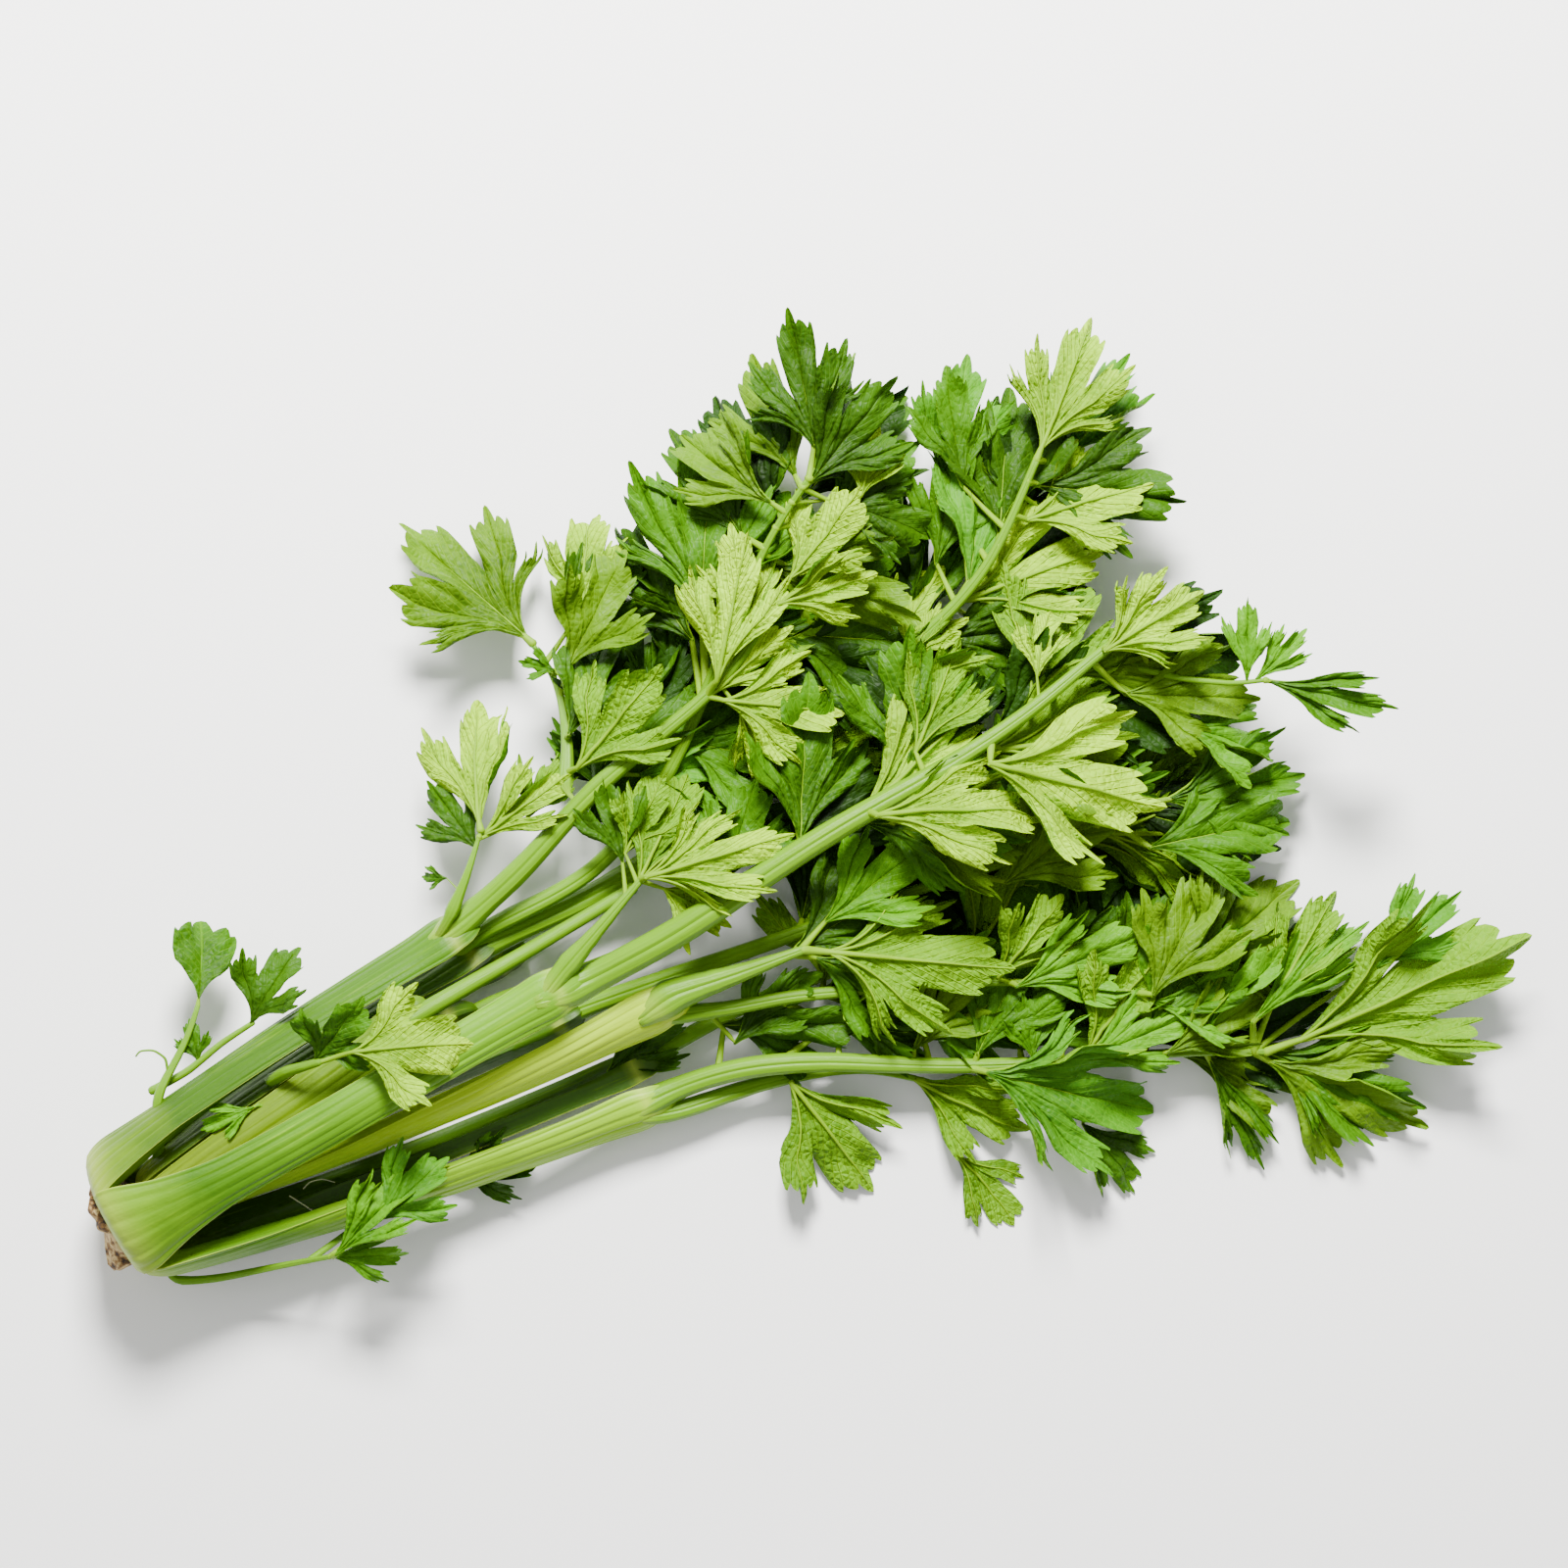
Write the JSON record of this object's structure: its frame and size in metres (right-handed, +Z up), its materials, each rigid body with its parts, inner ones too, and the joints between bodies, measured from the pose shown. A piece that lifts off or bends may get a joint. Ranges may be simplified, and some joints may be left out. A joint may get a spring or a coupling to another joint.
{
  "type": "head of celery",
  "caption": "Head of celery lying on its side: ribbed crescent leaf stalks joined at a cut stem base, swollen nodes, and fanned stems of lobed, toothed leaflets",
  "frame": {"origin": "centre of the underside of the head's bounding box, on the surface that it lies on", "axes": "+X along the head from the cut stem base to the leaf tips, +Z up, +Y across, towards the left when looking from the base to the tips"},
  "size_m": [0.441, 0.3258, 0.0658],
  "materials": {
    "stem_base": "matt",
    "stalk": "satin, waxy",
    "heart": "satin, waxy",
    "stem": "satin, waxy",
    "shoot": "satin",
    "leaf_top": "soft sheen",
    "leaf_underside": "matt"
  },
  "bodies": {
    "root": {"stem_base": "stem_base", "stalk_left": "stalk", "stalk_top": "stalk", "stalk_right": "stalk", "stalk_right_under": "stalk", "stalk_middle_under": "stalk", "stalk_left_under": "stalk", "stalk_left_inner": "stalk", "stalk_top_inner": "stalk", "stalk_right_inner": "stalk", "stalk_inner_under": "stalk", "stalk_heart": "heart", "stem_right_short": "stem", "stem_right_main": "stem", "stem_middle_under": "stem", "stem_left_inner": "stem", "stem_left_main": "stem", "stem_left_under": "stem", "stem_right_inner_long": "stem", "stem_right_inner_short": "stem", "stem_left_short": "stem", "stem_left_high": "stem", "stem_top_short": "stem", "stem_top_main": "stem", "shoot_left": "shoot", "shoot_right": "shoot", "leaflet_left_high_tip": "leaf_top", "leaflet_left_high_mid": "leaf_top", "leaflet_left_high_low": "leaf_underside", "leaflet_left_short_tip": "leaf_underside", "leaflet_left_short_side": "leaf_underside", "leaflet_left_under_mid": "leaf_top", "leaflet_left_under_tip": "leaf_top", "leaflet_left_under_side": "leaf_top", "leaflet_left_main_tip": "leaf_underside", "leaflet_left_main_left": "leaf_underside", "leaflet_left_main_right": "leaf_underside", "leaflet_top_short_tip": "leaf_underside", "leaflet_top_short_left": "leaf_underside", "leaflet_left_inner_tip": "leaf_underside", "leaflet_left_inner_r1": "leaf_underside", "leaflet_left_inner_r2": "leaf_underside", "leaflet_left_inner_l1": "leaf_top", "leaflet_left_inner_l2": "leaf_underside", "leaflet_top_main_l1": "leaf_underside", "leaflet_top_main_r1": "leaf_underside", "leaflet_top_main_r2": "leaf_underside", "leaflet_top_main_tip": "leaf_underside", "leaflet_top_main_r3": "leaf_top", "leaflet_middle_under_tip": "leaf_top", "leaflet_middle_under_r": "leaf_underside", "leaflet_right_inner_r": "leaf_underside", "leaflet_right_inner_l": "leaf_top", "leaflet_right_inner_tip": "leaf_top", "leaflet_right_main_tip": "leaf_underside", "leaflet_right_main_low": "leaf_top", "leaflet_right_main_mid": "leaf_top", "leaflet_right_short": "leaf_underside", "leaflet_shoot_left": "leaf_top", "leaflet_shoot_right": "leaf_top"}
  },
  "joints": []
}
